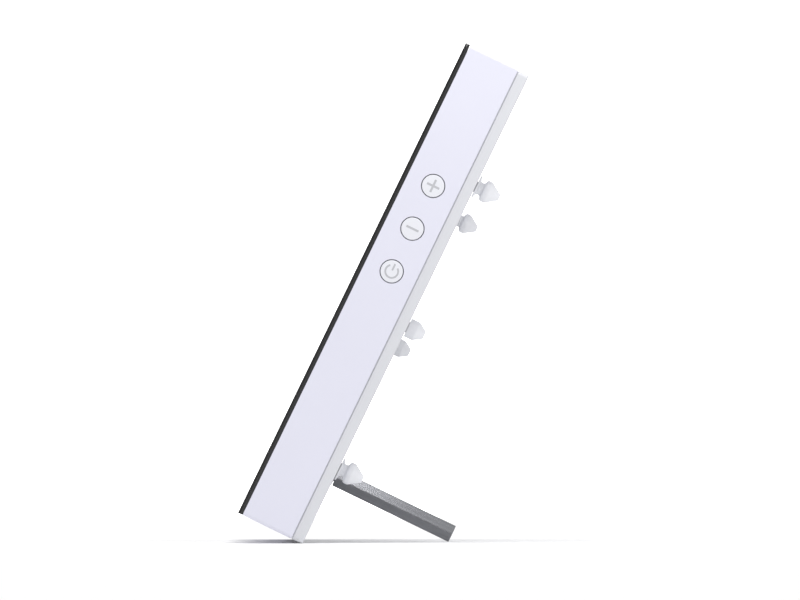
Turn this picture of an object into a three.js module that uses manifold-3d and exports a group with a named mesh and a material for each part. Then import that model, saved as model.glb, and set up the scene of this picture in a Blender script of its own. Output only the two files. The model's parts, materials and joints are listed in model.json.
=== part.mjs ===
// A ten-inch digital photo frame that leans back on one screw-in leg, low on its back.
//
// Lengths are millimetres. Every piece is drawn with the frame standing upright:
//   x runs across the width, with the buttons on the +x side,
//   y runs through the thickness, from 0 at the front glass towards the back,
//   z runs up the height, from 0 at the bottom edge.
// A parent group then leans it all back, so that the back bottom edge and the tip of the
// leg rest on one level surface.

import * as THREE from "three";
import { mergeVertices } from "three/addons/utils/BufferGeometryUtils.js";
import Module from "manifold-3d";

const wasm = await Module();
wasm.setup();

// ---- overall sizes -------------------------------------------------------------------

const WIDTH = 262;
const HEIGHT = 182;
const LEAN = THREE.MathUtils.degToRad(25.85);
const CLEARANCE = 0.3; // between pieces that touch or slide
const CORNER_RADIUS = 1.2; // upright corners of the housing
const PAST = 1; // a cut starts or ends this far outside the face it opens
const ROOTED = 0.5; // a boss starts this far inside the wall that it stands on

// ---- small screws inside -------------------------------------------------------------

const INNER_SCREW_RADIUS = 1;
const INNER_SCREW_HEAD_RADIUS = 2;
const INNER_SCREW_HEAD_HEIGHT = 1.2;
const CLIP_SCREW_LENGTH = 5;
const BUTTON_BOARD_SCREW_LENGTH = 6;
const BOARD_SCREW_LEFT_OVER = 1.5; // free hole beyond the end of a main board screw

// ---- front glass and display ---------------------------------------------------------

const GLASS_THICKNESS = 1.5;
const GLASS_CHAMFER = 0.2;
const TAPE_THICKNESS = 0.5;
const TAPE_WIDTH = 8;
const RIM_WIDTH = 1.2; // raised rim of the housing outside the tape
const WEB_THICKNESS = 2; // front wall of the housing, behind the glass
const BEZEL_SIDE = 22.5; // edge of the frame to the lit picture, left and right
const BEZEL_ENDS = 23.2; // the same at top and bottom
const WINDOW_MARGIN = 1; // the window is this much larger than the picture, all round
const MODULE_SIDE = 16.25; // edge of the frame to the display module, left and right
const MODULE_ENDS = 16.5; // the same at top and bottom
const CELL_THICKNESS = 2.2;
const GUIDE_THICKNESS = 2.7;
const TRAY_WALL = 0.8;
const CLIP_SIZE = 13;
const CLIP_THICKNESS = 0.6;
const CLIP_OVERLAP = 5.75; // how far a clip reaches over the tray
const CLIP_FROM_BOTTOM = 40;
const CLIP_FROM_TOP = 30;
const CLIP_POST_RADIUS = 3;
const INNER_CORNER = 0.5; // corners of the display's plates and of the window

// ---- housing and back cover ----------------------------------------------------------

const HOUSING_DEPTH = 18.75; // the white side band, front rim to seam
const WALL = 2.2;
const SEAM = 0.4;
const COVER_DEPTH = 3.95;
const COVER_INSET_SIDE = 0.5; // the cover's edge lies this far inside the housing's
const COVER_INSET_TOP = 0.65;
const COVER_INSET_BOTTOM = 0.05;
const COVER_CORNER = 1.5;
const COVER_FILLET = 0.5;
const LIP_DEPTH = 1.4; // how far the cover's lip enters the housing
const LIP_WALL = 1.4;
const SCREW_INSET = 9; // cover screws, from the frame's edges
const SCREW_BOSS_RADIUS = 3.5;
const SCREW_DEPTH = 10;
const SCREW_RADIUS = 1.3;
const SCREW_HEAD_RADIUS = 2.4;
const SCREW_HEAD_HEIGHT = 1.3;
const SCREW_PAD_RADIUS = 4;
const SCREW_SPACING = 2; // from a middle cover screw's post to the piece next to it
const SCREW_DOME = 0.5; // height of the rounded part of a screw's head
const SCREW_POINT = 1; // length of the tapered end
const CROSS_LENGTH = 2.8;
const CROSS_WIDTH = 0.5;
const CROSS_DEPTH = 0.7;
const HOUSING_INNER_CORNER = 0.6;

// ---- buttons -------------------------------------------------------------------------

const BUTTON_NAMES = ["plus", "minus", "power"]; // from the top down
const BUTTON_FROM_TOP = 50;
const BUTTON_PITCH = 16.55;
const BUTTON_FROM_FRONT = 11.5;
const BUTTON_RADIUS = 3.95;
const BUTTON_EDGE = 0.25;
const BUTTON_TRAVEL = 0.5;
const BUTTON_FLANGE_RADIUS = 5.2;
const BUTTON_FLANGE_THICKNESS = 0.8;
const BUTTON_STEM_RADIUS = 1.6;
const BUTTON_STEM_LENGTH = 1.2;
const PLUNGER_RADIUS = 1.25;
const PLUNGER_LENGTH = 2.2;
const PLUNGER_SEATED = 0.6; // how far a plunger starts inside its switch
const SWITCH_SIDE = 6;
const SWITCH_HEIGHT = 3.5;
const BUTTON_BOARD_WIDTH = 11;
const BUTTON_BOARD_MARGIN = 7; // board beyond the outer button centres
const BUTTON_BOARD_THICKNESS = 1.2;
const BUTTON_POST_RADIUS = 2.2;
const CABLE_LIFT = 3; // the cable leaves the button board this far behind its middle

// ---- electronics ---------------------------------------------------------------------

const BOARD_THICKNESS = 1.6;
const BOARD_FROM_FRONT = 14;
const BOARD_FROM_SIDE = 36; // clear of the pegs' posts
const BOARD_FROM_BOTTOM = 5;
const BOARD_WIDTH = 90;
const BOARD_HEIGHT = 95;
const BOARD_HOLE_INSET = 6;
const BOARD_POST_RADIUS = 3.2;
const BOARD_HOLE_FLOOR = 1.5; // from the end of a post's hole to the cover's inner face
const ARM_MARGIN = 0.5; // board beyond the card socket, above and below
const ARM_SETBACK = 2; // from the socket's mouth to the end of the board's arm
const PROCESSOR_SIDE = 14;
const PROCESSOR_THICKNESS = 1.4;
const PROCESSOR_ALONG = 50; // its middle, from the board's left edge
const MEMORY_WIDTH = 9;
const MEMORY_HEIGHT = 12;
const MEMORY_THICKNESS = 1;
const MEMORY_ALONG = 25;
const CHIPS_UP = 58; // middle of both chips, from the board's bottom edge
const CARD_WIDTH = 27;
const CARD_DEPTH = 28;
const CARD_HEIGHT = 2.7;
const CARD_SLOT = 2.1;
const CARD_WALL = 1.2;
const CARD_FROM_BOTTOM = 44;
const USB_FROM_LEFT = 81;
const USB_FROM_BOTTOM = 8;
const USB_WIDTH = 7.6;
const USB_HEIGHT = 2.9;
const USB_WALL = 0.45;
const USB_PROUD = 0.15; // the socket's shell stands this far out of the cover
const USB_RECESS_MARGIN = 2.2;
const USB_RECESS_DEPTH = 0.7;
const USB_FLOOR = 1.5; // moulded block at the bottom of the socket
const RIBBON_WIDTH = 20;
const RIBBON_THICKNESS = 0.3;
const RIBBON_DROP = 2.2; // how far the ribbon passes below the display
const RIBBON_FROM_LEFT = 81;
const RIBBON_UP = 21; // the ribbon ends this far up the board
const CONNECTOR_MARGIN = 1; // connector beyond the ribbon on each side
const CONNECTOR_HEIGHT = 4.6;
const CONNECTOR_DEPTH = 1.6;
const CABLE_RADIUS = 0.8;
const CABLE_DOWN = 12; // the cable meets the board this far below the board's top edge
const SPEAKER_RADIUS = 14;
const SPEAKER_DEPTH = 5;
const SPEAKER_FROM_SIDE = 71;
const SPEAKER_FROM_TOP = 52;
const SPEAKER_MAGNET = 0.6; // magnet, rim and dust cap, as shares of the speaker's radius
const SPEAKER_RIM = 0.85;
const SPEAKER_CAP = 0.4;
const SPEAKER_MAGNET_DEPTH = 2.2;
const SPEAKER_FLARE = 0.4;
const SPEAKER_CONE_DEPTH = 1.4;
const SPEAKER_CAP_RISE = 0.4;
const GRILLE_SLOTS = 5;
const GRILLE_SLOT_WIDTH = 1.4;
const GRILLE_PITCH = 3.2;
const GRILLE_LENGTH = 14;

// ---- leg -----------------------------------------------------------------------------

const LEG_FLATS = 6.4; // across the flats of the hexagonal bar
const LEG_FROM_SIDE = 103; // near enough to the middle that the frame can't tip past its leg
const LEG_FROM_BOTTOM = 26.85;
const THREAD_RADIUS = 2;
const THREAD_LENGTH = 7; // engaged in the insert
const INSERT_RADIUS = 3.25;
const INSERT_LENGTH = 9.5;
const LEG_BOSS_WALL = 1.95;
const WASHER_RADIUS = 3.3;
const WASHER_THICKNESS = 0.5;

// ---- pegs and knobs on the back ------------------------------------------------------

const PEG_FROM_SIDE = 18.5;
const PEG_LOW = 29.5; // lower pair, above the bottom edge
const PEG_HIGH = 42.5; // upper pair, below the top edge
const PEG_STEM_RADIUS = 2;
const PEG_BOSS_RADIUS = 4;
const PEG_BOSS_DEPTH = 2.4;
const PEG_BARB_RADIUS = 2.9;
const PEG_BARB_LENGTH = 1.7;
const PEG_BARB_EDGE = 0.3;
const PEG_FLANGE_RADIUS = 4.3;
const PEG_NECK_RADIUS = 2.36;
const PEG_HEAD_RADIUS = 4;
const PEG_LENGTH = 9.1;
const KNOB_RADIUS = 3.5;
const KNOB_COLLAR = 3; // straight part of the knob
const KNOB_LENGTH = 6.5;
const BLUNT_SHARE = 0.26; // flat end of a peg, as a share of its head

// ---- places worked out from the sizes above ------------------------------------------

const halfWidth = WIDTH / 2;
const tapeFront = GLASS_THICKNESS + CLEARANCE;
const housingFront = tapeFront;
const tapeBack = tapeFront + TAPE_THICKNESS;
const webFront = tapeBack + CLEARANCE;
const webBack = webFront + WEB_THICKNESS;
const cellFront = webBack + CLEARANCE;
const cellBack = cellFront + CELL_THICKNESS;
const trayFront = cellBack + CLEARANCE;
const guideBack = trayFront + GUIDE_THICKNESS;
const trayBack = guideBack + CLEARANCE + TRAY_WALL;
const clipFront = trayBack + CLEARANCE;
const clipBack = clipFront + CLIP_THICKNESS;
const housingBack = housingFront + HOUSING_DEPTH;
const coverFront = housingBack + SEAM;
const coverBack = coverFront + COVER_DEPTH;
const coverInside = coverBack - WALL;
const lipFront = housingBack - LIP_DEPTH;
const boardBack = BOARD_FROM_FRONT + BOARD_THICKNESS;
const chipFront = boardBack + CLEARANCE;
const innerHole = INNER_SCREW_RADIUS + CLEARANCE;

const topButton = HEIGHT - BUTTON_FROM_TOP;
const buttonHeights = BUTTON_NAMES.map((name, index) => topButton - index * BUTTON_PITCH);
const buttonBoardTop = buttonHeights[0] + BUTTON_BOARD_MARGIN;
const buttonBoardBottom = buttonHeights[BUTTON_NAMES.length - 1] - BUTTON_BOARD_MARGIN;
const flangeOuter = halfWidth - WALL - CLEARANCE;
const flangeInner = flangeOuter - BUTTON_FLANGE_THICKNESS;
const stemEnd = flangeInner - BUTTON_STEM_LENGTH;
const plungerTop = stemEnd - CLEARANCE;
const plungerBottom = plungerTop - PLUNGER_LENGTH;
const switchTop = plungerBottom + PLUNGER_SEATED;
const switchBottom = switchTop - SWITCH_HEIGHT;
const buttonBoardOuter = switchBottom - CLEARANCE;
const buttonBoardInner = buttonBoardOuter - BUTTON_BOARD_THICKNESS;
const buttonPostHeights = [0, 1].map((gap) => (buttonHeights[gap] + buttonHeights[gap + 1]) / 2);

const boardLeft = -halfWidth + BOARD_FROM_SIDE;
const boardRight = boardLeft + BOARD_WIDTH;
const boardTop = BOARD_FROM_BOTTOM + BOARD_HEIGHT;
const cardLeft = -halfWidth + WALL + CLEARANCE;
const cardTop = CARD_FROM_BOTTOM + CARD_WIDTH;
const cardBack = chipFront + CARD_HEIGHT;
const cardSlotFront = chipFront + (CARD_HEIGHT - CARD_SLOT) / 2;
const ribbonX = -halfWidth + RIBBON_FROM_LEFT;
const boardFixings = [boardLeft + BOARD_HOLE_INSET, boardRight - BOARD_HOLE_INSET].flatMap((x) => [
  { x, z: BOARD_FROM_BOTTOM + BOARD_HOLE_INSET },
  { x, z: boardTop - BOARD_HOLE_INSET },
]);

// The middle cover screws are level, just above the card socket, unless the button board
// reaches down that far: then the one on the buttons' side is below the board.
const screwReach = SCREW_BOSS_RADIUS + SCREW_SPACING;
const aboveCard = cardTop + screwReach;
const belowButtons = Math.min(aboveCard, buttonBoardBottom - screwReach);
const coverScrews = [
  { side: -1, middle: aboveCard },
  { side: 1, middle: belowButtons },
].flatMap(({ side, middle }) =>
  [SCREW_INSET, middle, HEIGHT - SCREW_INSET].map((z) => ({ x: side * (halfWidth - SCREW_INSET), z })),
);

// A clip holds the display's edge; its post stands just outside the tray.
const clipPostX = halfWidth - MODULE_SIDE + CLIP_POST_RADIUS + 3 * CLEARANCE;
const clips = [-1, 1].flatMap((side) => [
  { side, x: side * clipPostX, z: CLIP_FROM_BOTTOM },
  { side, x: side * clipPostX, z: HEIGHT - CLIP_FROM_TOP },
]);

const usb = { x: -halfWidth + USB_FROM_LEFT, z: USB_FROM_BOTTOM };
const boardHoleEnd = coverInside - BOARD_HOLE_FLOOR;
const speakers = [
  { name: "left", x: -(halfWidth - SPEAKER_FROM_SIDE), z: HEIGHT - SPEAKER_FROM_TOP },
  { name: "right", x: halfWidth - SPEAKER_FROM_SIDE, z: HEIGHT - SPEAKER_FROM_TOP },
];
const leg = { x: halfWidth - LEG_FROM_SIDE, z: LEG_FROM_BOTTOM };
const legBase = coverBack + 2 * CLEARANCE + WASHER_THICKNESS;
const insertBack = coverBack - CLEARANCE;
const threadEnd = insertBack - THREAD_LENGTH;
const legBossRadius = INSERT_RADIUS + CLEARANCE + LEG_BOSS_WALL;

// The lowest point of the leaning cover is on the fillet of its back bottom edge. The
// leg's lower flat is cut off where it comes down to that level.
const filletY = coverBack - COVER_FILLET;
const filletZ = COVER_INSET_BOTTOM + COVER_FILLET;
const floorLevel = filletZ * Math.cos(LEAN) - filletY * Math.sin(LEAN) - COVER_FILLET;
const legTip = ((LEG_FROM_BOTTOM - LEG_FLATS / 2) * Math.cos(LEAN) - floorLevel) / Math.sin(LEAN);

const pegRows = [
  { row: "lower", z: PEG_LOW },
  { row: "upper", z: HEIGHT - PEG_HIGH },
];

// The knobs are midway between the pegs, and their barbs stay above the card socket.
const knobHeight = Math.max((PEG_LOW + HEIGHT - PEG_HIGH) / 2, cardTop + PEG_BARB_RADIUS + CLEARANCE);
const stemHeights = [PEG_LOW, knobHeight, HEIGHT - PEG_HIGH];
const stemPlaces = [-1, 1].flatMap((side) =>
  stemHeights.map((z) => ({ x: side * (halfWidth - PEG_FROM_SIDE), z })),
);

// ---- finishes ------------------------------------------------------------------------

const finish = (color, roughness, metalness) => ({ color, roughness, metalness });
const WHITE_PLASTIC = finish(0xeeeef8, 0.5, 0);
const COVER_PLASTIC = finish(0xe6e7ea, 0.55, 0);
const BLACK_GLASS = finish(0x1c1d20, 0.15, 0);
const BLACK_FOAM = finish(0x18181a, 0.95, 0);
const PANEL_GLASS = finish(0x0e1014, 0.2, 0);
const CLEAR_ACRYLIC = finish(0xe8eef2, 0.15, 0);
const PLATED_STEEL = finish(0xb4b6ba, 0.35, 1);
const DARK_SCREW = finish(0x3a3b3e, 0.4, 1);
const GREEN_BOARD = finish(0x1f5a38, 0.6, 0);
const BLACK_PACKAGE = finish(0x202124, 0.6, 0);
const BRASS = finish(0xb9974f, 0.35, 1);
const ALUMINIUM = finish(0xa6a7ad, 0.35, 1);
const BLACK_RUBBER = finish(0x1b1b1d, 0.9, 0);
const RIBBON_FILM = finish(0xc98a3c, 0.45, 0);
const CABLE_JACKET = finish(0x2a2a2c, 0.6, 0);

// ---- solids --------------------------------------------------------------------------

function solid(geometry) {
  const bare = geometry.clone();
  bare.deleteAttribute("normal");
  bare.deleteAttribute("uv");
  const merged = mergeVertices(bare);
  return new wasm.Manifold(
    new wasm.Mesh({
      numProp: 3,
      vertProperties: new Float32Array(merged.attributes.position.array),
      triVerts: new Uint32Array(merged.index.array),
    }),
  );
}

function surface(manifold) {
  const mesh = manifold.getMesh();
  const geometry = new THREE.BufferGeometry();
  geometry.setAttribute("position", new THREE.BufferAttribute(mesh.vertProperties, 3));
  geometry.setIndex(new THREE.BufferAttribute(mesh.triVerts, 1));
  geometry.computeVertexNormals();
  return geometry;
}

function cut(body, tools) {
  return tools.reduce((rest, tool) => rest.subtract(solid(tool)), body);
}

function join(body, additions) {
  return additions.reduce((whole, addition) => whole.add(solid(addition)), body);
}

function block(x0, x1, y0, y1, z0, z1) {
  const box = new THREE.BoxGeometry(x1 - x0, y1 - y0, z1 - z0);
  return box.translate((x0 + x1) / 2, (y0 + y1) / 2, (z0 + z1) / 2);
}

// A round bar through the thickness.
function barY(place, y0, y1, radius, sides = 12) {
  const bar = new THREE.CylinderGeometry(radius, radius, y1 - y0, sides);
  return bar.translate(place.x, (y0 + y1) / 2, place.z);
}

// A round bar across the width.
function barX(x0, x1, y, z, radius, sides = 12) {
  const bar = new THREE.CylinderGeometry(radius, radius, x1 - x0, sides);
  return bar.rotateZ(-Math.PI / 2).translate((x0 + x1) / 2, y, z);
}

// A block through the thickness, given by its middle and its width and height.
function blockY(place, width, height, y0, y1) {
  return new THREE.BoxGeometry(width, y1 - y0, height).translate(place.x, (y0 + y1) / 2, place.z);
}

// The frame's outline drawn in by a margin at its sides, its bottom and its top.
function outline(side, low, top, radius) {
  const x = halfWidth - side;
  const high = HEIGHT - top;
  const shape = new THREE.Shape();
  shape.absarc(x - radius, low + radius, radius, -Math.PI / 2, 0);
  shape.absarc(x - radius, high - radius, radius, 0, Math.PI / 2);
  shape.absarc(-x + radius, high - radius, radius, Math.PI / 2, Math.PI);
  shape.absarc(-x + radius, low + radius, radius, Math.PI, 1.5 * Math.PI);
  return shape;
}

// A flat outline given in x and z, made solid from y0 to y1.
function plate(shape, y0, y1) {
  const depth = y1 - y0;
  const slab = new THREE.ExtrudeGeometry(shape, { depth, bevelEnabled: false, curveSegments: 3 });
  return slab.rotateX(Math.PI / 2).translate(0, y1, 0);
}

function frameSlab(sides, ends, radius, y0, y1) {
  return plate(outline(sides, ends, ends, radius), y0, y1);
}

// A slab whose edges are rounded at both ends, y0 and y1.
function softSlab(shape, y0, y1, edge, steps) {
  const slab = new THREE.ExtrudeGeometry(shape, {
    depth: y1 - y0 - 2 * edge,
    bevelThickness: edge,
    bevelSize: edge,
    bevelOffset: -edge,
    bevelSegments: steps,
    curveSegments: 3,
  });
  return slab.rotateX(Math.PI / 2).translate(0, y1 - edge, 0);
}

// A turned piece: pairs of radius and y, from the front end to the back end.
function turned(profile, place, sides = 16) {
  const points = profile.map(([radius, y]) => new THREE.Vector2(radius, y));
  return new THREE.LatheGeometry(points, sides).translate(place.x, 0, place.z);
}

// A small screw that points along +y, with the seat of its head at y.
function innerScrew(seat, length) {
  return [
    [0, seat - INNER_SCREW_HEAD_HEIGHT],
    [INNER_SCREW_HEAD_RADIUS, seat - INNER_SCREW_HEAD_HEIGHT],
    [INNER_SCREW_HEAD_RADIUS, seat],
    [INNER_SCREW_RADIUS, seat],
    [INNER_SCREW_RADIUS, seat + length],
    [0, seat + length],
  ];
}

// ---- the tree ------------------------------------------------------------------------

const upright = new THREE.Group();

function place(name, shape, look) {
  const geometry = shape.isBufferGeometry ? shape : surface(shape);
  const mesh = new THREE.Mesh(geometry, new THREE.MeshStandardMaterial(look));
  mesh.name = name;
  upright.add(mesh);
}

function addFront() {
  const glass = softSlab(outline(0, 0, 0, CORNER_RADIUS), 0, GLASS_THICKNESS, GLASS_CHAMFER, 1);
  place("front_panel", glass, BLACK_GLASS);

  const outer = RIM_WIDTH + CLEARANCE;
  const inner = outer + TAPE_WIDTH;
  const hole = frameSlab(inner, inner, INNER_CORNER, 0, webFront);
  const tape = cut(solid(frameSlab(outer, outer, INNER_CORNER, tapeFront, tapeBack)), [hole]);
  place("panel_tape", tape, BLACK_FOAM);
}

function addDisplay() {
  const moduleSlab = (margin, y0, y1) =>
    frameSlab(MODULE_SIDE + margin, MODULE_ENDS + margin, INNER_CORNER, y0, y1);
  place("lcd_cell", moduleSlab(0, cellFront, cellBack), PANEL_GLASS);
  place("light_guide", moduleSlab(TRAY_WALL + CLEARANCE, trayFront, guideBack), CLEAR_ACRYLIC);
  const well = moduleSlab(TRAY_WALL, 0, trayBack - TRAY_WALL);
  place("backlight_tray", cut(solid(moduleSlab(0, trayFront, trayBack)), [well]), PLATED_STEEL);

  clips.forEach((clip, index) => {
    const clipMiddle = halfWidth - MODULE_SIDE - CLIP_OVERLAP + CLIP_SIZE / 2;
    const at = { x: clip.side * clipMiddle, z: clip.z };
    const strap = solid(blockY(at, CLIP_SIZE, CLIP_SIZE, clipFront, clipBack));
    const hole = barY(clip, clipFront - PAST, clipBack + PAST, innerHole);
    place(`display_clip_${index + 1}`, cut(strap, [hole]), PLATED_STEEL);
    const seat = clipBack + CLEARANCE;
    const profile = innerScrew(-seat, CLIP_SCREW_LENGTH).map(([radius, y]) => [radius, -y]).reverse();
    place(`clip_screw_${index + 1}`, turned(profile, clip), PLATED_STEEL);
  });
}

function addHousing() {
  const shell = solid(frameSlab(0, 0, CORNER_RADIUS, housingFront, housingBack));
  const hollow = cut(shell, [
    frameSlab(RIM_WIDTH, RIM_WIDTH, HOUSING_INNER_CORNER, housingFront - PAST, webFront),
    frameSlab(
      BEZEL_SIDE - WINDOW_MARGIN,
      BEZEL_ENDS - WINDOW_MARGIN,
      INNER_CORNER,
      webFront - PAST,
      webBack + PAST,
    ),
    frameSlab(WALL, WALL, HOUSING_INNER_CORNER, webBack, housingBack + PAST),
  ]);
  const posts = join(hollow, [
    ...coverScrews.map((at) => barY(at, webBack - ROOTED, housingBack, SCREW_BOSS_RADIUS)),
    ...clips.map((at) => barY(at, webBack - ROOTED, trayBack, CLIP_POST_RADIUS)),
    ...buttonPostHeights.map((z) =>
      barX(buttonBoardOuter + CLEARANCE, halfWidth - WALL / 2, BUTTON_FROM_FRONT, z, BUTTON_POST_RADIUS),
    ),
  ]);
  const pilot = SCREW_RADIUS + CLEARANCE;
  const buttonHole = BUTTON_RADIUS + CLEARANCE;
  const cardBottom = CARD_FROM_BOTTOM + CARD_WALL;
  const cardSlotBack = cardSlotFront + CARD_SLOT;
  const housing = cut(posts, [
    ...coverScrews.map((at) => barY(at, housingBack - SCREW_DEPTH, housingBack + PAST, pilot)),
    ...clips.map((at) => barY(at, trayBack - CLIP_SCREW_LENGTH, trayBack + PAST, innerHole)),
    ...buttonHeights.map((z) =>
      barX(halfWidth - WALL - PAST, halfWidth + PAST, BUTTON_FROM_FRONT, z, buttonHole, 32),
    ),
    ...buttonPostHeights.map((z) => barX(buttonBoardOuter, flangeOuter, BUTTON_FROM_FRONT, z, innerHole)),
    block(-halfWidth - PAST, cardLeft, cardSlotFront, cardSlotBack, cardBottom, cardTop - CARD_WALL),
  ]);
  place("housing", housing, WHITE_PLASTIC);
}

function addRearCover() {
  const coverOutline = outline(COVER_INSET_SIDE, COVER_INSET_BOTTOM, COVER_INSET_TOP, COVER_CORNER);
  const rounded = solid(softSlab(coverOutline, coverFront - 2 * COVER_FILLET, coverBack, COVER_FILLET, 4));
  const behindSeam = solid(block(-WIDTH, WIDTH, coverFront, coverBack + PAST, -HEIGHT, 2 * HEIGHT));
  const coverWall = COVER_INSET_SIDE + WALL;
  const shell = cut(rounded.intersect(behindSeam), [
    frameSlab(coverWall, coverWall, HOUSING_INNER_CORNER, coverFront - PAST, coverInside),
  ]);

  const lipMargin = WALL + CLEARANCE;
  const lipInner = lipMargin + LIP_WALL;
  const rooted = coverInside + ROOTED;
  const lip = cut(solid(frameSlab(lipMargin, lipMargin, HOUSING_INNER_CORNER, lipFront, rooted)), [
    frameSlab(lipInner, lipInner, HOUSING_INNER_CORNER, 0, coverBack),
  ]);

  // Wall and lip are notched where the card socket or the buttons' pieces reach back to them.
  const cardRoom = [cardBack + CLEARANCE, CARD_FROM_BOTTOM - CLEARANCE, cardTop + CLEARANCE];
  const buttonsBack = BUTTON_FROM_FRONT + Math.max(BUTTON_FLANGE_RADIUS, BUTTON_BOARD_WIDTH / 2);
  const buttonRoom = [buttonsBack + CLEARANCE, buttonBoardBottom - CLEARANCE, buttonBoardTop + CLEARANCE];
  const rim = cut(shell.add(lip), [
    block(cardLeft - CLEARANCE, 0, 0, ...cardRoom),
    block(0, flangeOuter + CLEARANCE, 0, ...buttonRoom),
  ]);
  const bosses = join(rim, [
    ...coverScrews.map((at) => barY(at, coverFront, rooted, SCREW_PAD_RADIUS)),
    barY(leg, insertBack - INSERT_LENGTH, rooted, legBossRadius, 16),
    ...stemPlaces.map((at) => barY(at, coverInside - PEG_BOSS_DEPTH, rooted, PEG_BOSS_RADIUS)),
    ...boardFixings.map((at) => barY(at, boardBack + CLEARANCE, rooted, BOARD_POST_RADIUS)),
  ]);

  const screwSeat = coverBack - SCREW_HEAD_HEIGHT - 2 * CLEARANCE;
  const open = coverBack + PAST;
  const grilles = speakers.flatMap((speaker) =>
    Array.from(Array(GRILLE_SLOTS).keys()).map((slot) => {
      const x = speaker.x + (slot - (GRILLE_SLOTS - 1) / 2) * GRILLE_PITCH;
      return blockY({ x, z: speaker.z }, GRILLE_SLOT_WIDTH, GRILLE_LENGTH, coverInside - PAST, open);
    }),
  );
  const usbOpening = (margin, y0) =>
    blockY(usb, USB_WIDTH + 2 * margin, USB_HEIGHT + 2 * margin, y0, open);
  const cover = cut(bosses, [
    ...coverScrews.map((at) => barY(at, coverFront - PAST, coverBack, SCREW_RADIUS + CLEARANCE)),
    ...coverScrews.map((at) => barY(at, screwSeat, open, SCREW_HEAD_RADIUS + CLEARANCE, 16)),
    barY(leg, 0, open, INSERT_RADIUS + CLEARANCE, 20),
    ...stemPlaces.map((at) => barY(at, 0, open, PEG_STEM_RADIUS + CLEARANCE)),
    ...boardFixings.map((at) => barY(at, 0, boardHoleEnd, innerHole)),
    usbOpening(CLEARANCE, coverInside - PAST),
    usbOpening(USB_RECESS_MARGIN, coverBack - USB_RECESS_DEPTH),
    ...grilles,
  ]);
  place("rear_cover", cover, COVER_PLASTIC);

  // Each screw has a low domed head with a cross recess.
  const head = screwSeat + CLEARANCE;
  const top = head + SCREW_HEAD_HEIGHT;
  const tip = housingBack - SCREW_DEPTH + 2 * CLEARANCE;
  const profile = [
    [0, tip],
    [SCREW_RADIUS / 2, tip],
    [SCREW_RADIUS, tip + SCREW_POINT],
    [SCREW_RADIUS, head],
    [SCREW_HEAD_RADIUS, head],
    [SCREW_HEAD_RADIUS, top - SCREW_DOME],
    [SCREW_HEAD_RADIUS * 0.75, top - SCREW_DOME / 5],
    [0, top],
  ];
  coverScrews.forEach((at, index) => {
    const recess = [
      blockY(at, CROSS_LENGTH, CROSS_WIDTH, top - CROSS_DEPTH, top + PAST),
      blockY(at, CROSS_WIDTH, CROSS_LENGTH, top - CROSS_DEPTH, top + PAST),
    ];
    place(`cover_screw_${index + 1}`, cut(solid(turned(profile, at)), recess), DARK_SCREW);
  });
}

function addButtons() {
  const y = BUTTON_FROM_FRONT;
  const axis = { x: 0, z: 0 };
  const profile = [
    [0, stemEnd],
    [BUTTON_STEM_RADIUS, stemEnd],
    [BUTTON_STEM_RADIUS, flangeInner],
    [BUTTON_FLANGE_RADIUS, flangeInner],
    [BUTTON_FLANGE_RADIUS, flangeOuter],
    [BUTTON_RADIUS, flangeOuter],
    [BUTTON_RADIUS, halfWidth - BUTTON_EDGE],
    [BUTTON_RADIUS - BUTTON_EDGE, halfWidth],
    [0, halfWidth],
  ];
  const boreDepth = PLUNGER_SEATED + BUTTON_TRAVEL + CLEARANCE;
  BUTTON_NAMES.forEach((name, index) => {
    const z = buttonHeights[index];
    const cap = turned(profile, axis, 32).rotateZ(-Math.PI / 2).translate(0, y, z);
    place(`button_${name}`, cap, WHITE_PLASTIC);
    place(`plunger_${name}`, barX(plungerBottom, plungerTop, y, z, PLUNGER_RADIUS), BLACK_PACKAGE);
    const half = SWITCH_SIDE / 2;
    const can = solid(block(switchBottom, switchTop, y - half, y + half, z - half, z + half));
    const bore = barX(switchTop - boreDepth, switchTop + PAST, y, z, PLUNGER_RADIUS + CLEARANCE);
    place(`switch_${name}`, cut(can, [bore]), PLATED_STEEL);
  });

  const front = y - BUTTON_BOARD_WIDTH / 2;
  const back = y + BUTTON_BOARD_WIDTH / 2;
  const strip = block(buttonBoardInner, buttonBoardOuter, front, back, buttonBoardBottom, buttonBoardTop);
  const holes = buttonPostHeights.map((z) =>
    barX(buttonBoardInner - PAST, buttonBoardOuter + PAST, y, z, innerHole),
  );
  place("button_board", cut(solid(strip), holes), GREEN_BOARD);
  const points = innerScrew(buttonBoardInner - CLEARANCE, BUTTON_BOARD_SCREW_LENGTH);
  buttonPostHeights.forEach((z, index) => {
    const screw = turned(points, axis).rotateZ(-Math.PI / 2).translate(0, y, z);
    place(`button_board_screw_${index + 1}`, screw, PLATED_STEEL);
  });
}

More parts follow.
